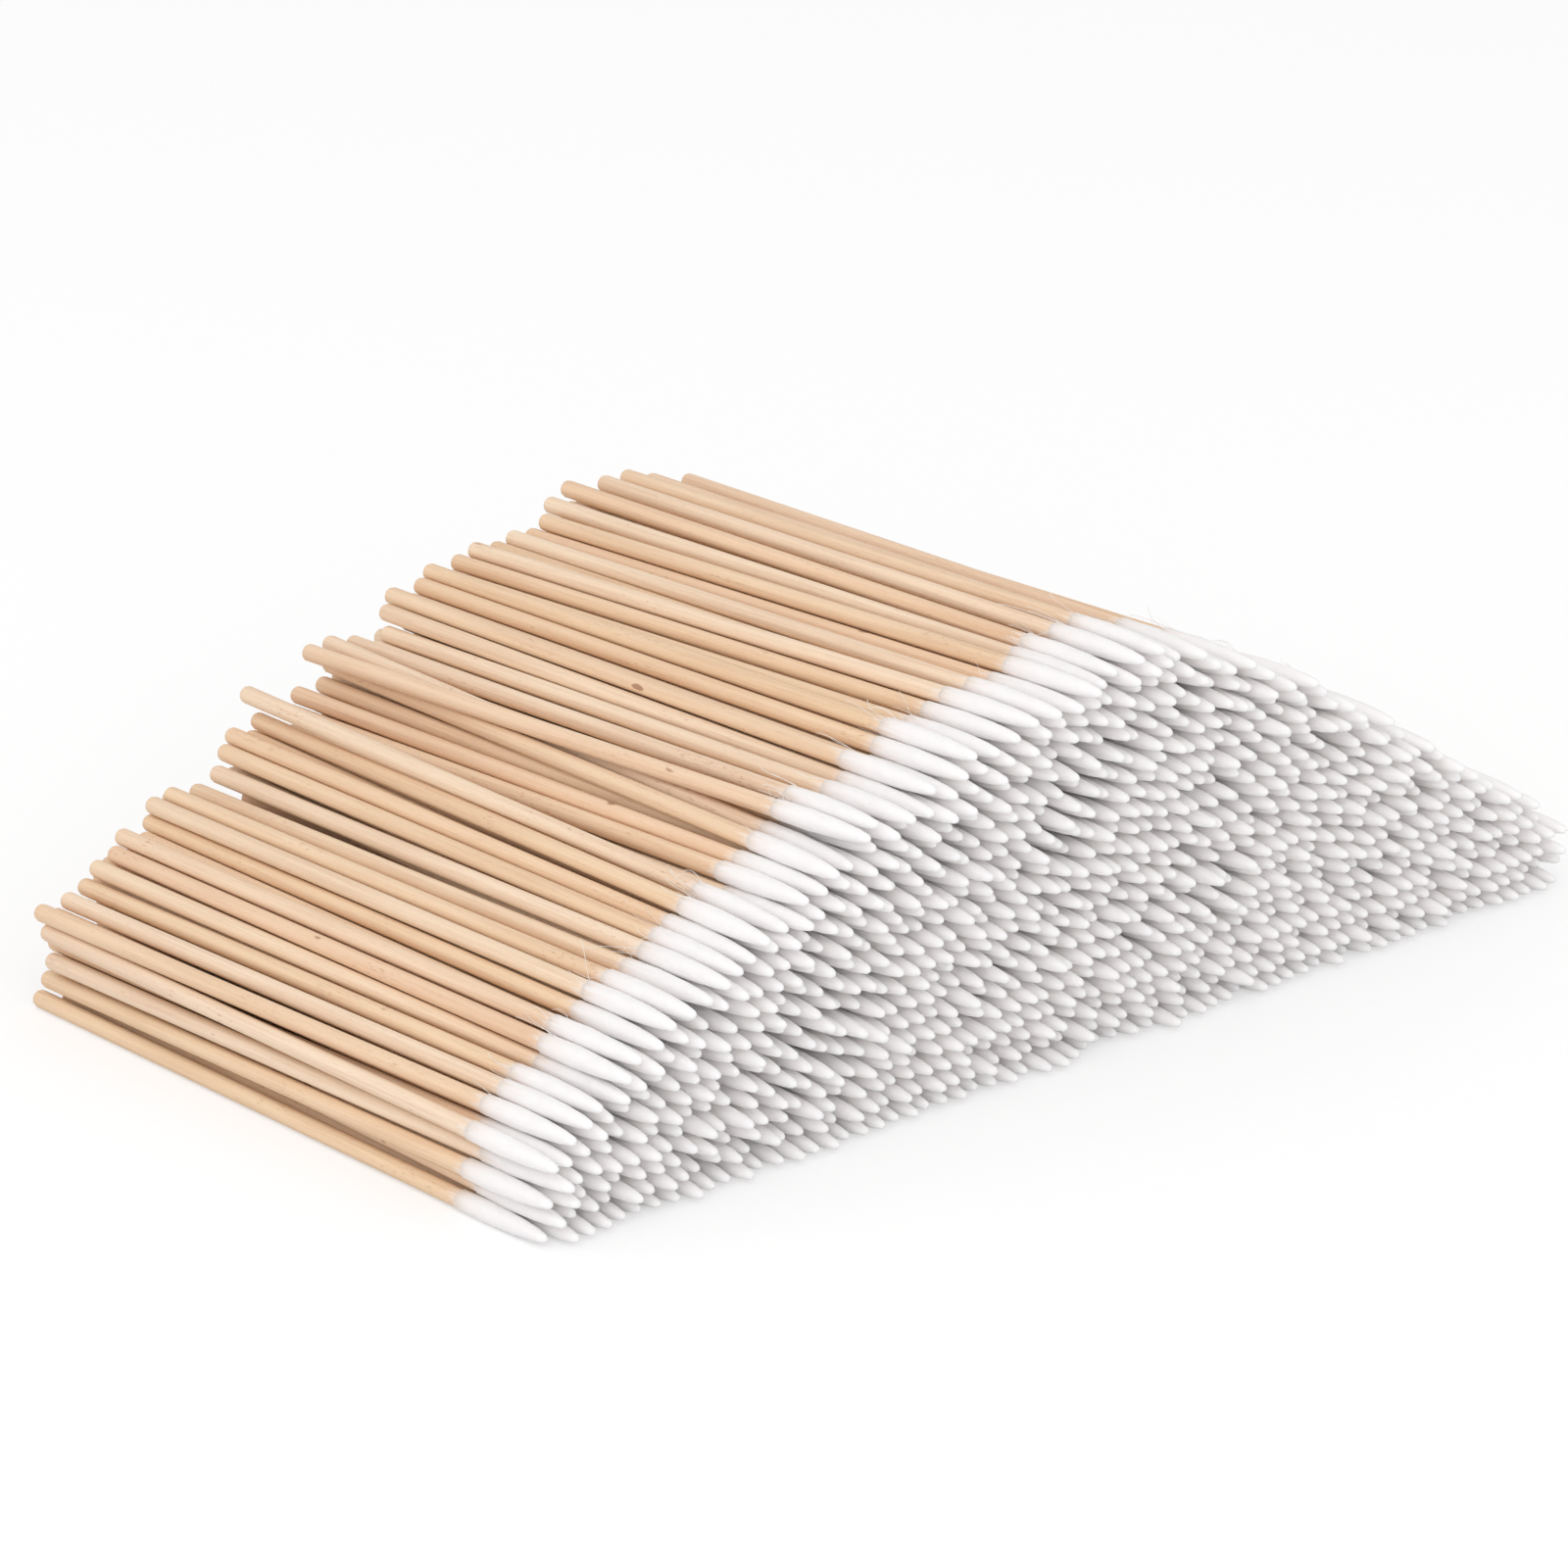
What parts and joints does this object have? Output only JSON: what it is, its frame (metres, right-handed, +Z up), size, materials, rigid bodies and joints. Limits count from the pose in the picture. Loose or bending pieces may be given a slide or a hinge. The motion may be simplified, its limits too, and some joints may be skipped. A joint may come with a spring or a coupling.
{
  "type": "stack of pointed cotton swabs",
  "caption": "Heap of pointed cotton swabs with plain round birch sticks, laid side by side with all their wound cotton tips to the front.",
  "frame": {"origin": "under the middle of the heap, on the surface that it lies on", "axes": "+X across the swabs to the right, +Y along the swabs from the tips to the back ends, +Z up"},
  "size_m": [0.176, 0.1048, 0.0517],
  "materials": {
    "birch": "bare, lightly sanded",
    "cotton": "matt wound fibre"
  },
  "bodies": {
    "root": {"cotton_tips_layer_01": "cotton", "cotton_tips_layer_02": "cotton", "cotton_tips_layer_03": "cotton", "cotton_tips_layer_04": "cotton", "cotton_tips_layer_05": "cotton", "cotton_tips_layer_06": "cotton", "cotton_tips_layer_07": "cotton", "cotton_tips_layer_08": "cotton", "cotton_tips_layer_09": "cotton", "cotton_tips_layer_10": "cotton", "cotton_tips_layer_11": "cotton", "cotton_tips_layer_12": "cotton", "cotton_tips_layer_13": "cotton", "cotton_tips_layer_14": "cotton", "cotton_tips_layer_15": "cotton", "cotton_tips_layer_16": "cotton", "cotton_tips_layer_17": "cotton", "cotton_tips_layer_18": "cotton", "cotton_tips_layer_19": "cotton", "cotton_tips_layer_20": "cotton", "sticks_layer_01": "birch", "sticks_layer_02": "birch", "sticks_layer_03": "birch", "sticks_layer_04": "birch", "sticks_layer_05": "birch", "sticks_layer_06": "birch", "sticks_layer_07": "birch", "sticks_layer_08": "birch", "sticks_layer_09": "birch", "sticks_layer_10": "birch", "sticks_layer_11": "birch", "sticks_layer_12": "birch", "sticks_layer_13": "birch", "sticks_layer_14": "birch", "sticks_layer_15": "birch", "sticks_layer_16": "birch", "sticks_layer_17": "birch", "sticks_layer_18": "birch", "sticks_layer_19": "birch", "sticks_layer_20": "birch"}
  },
  "joints": []
}
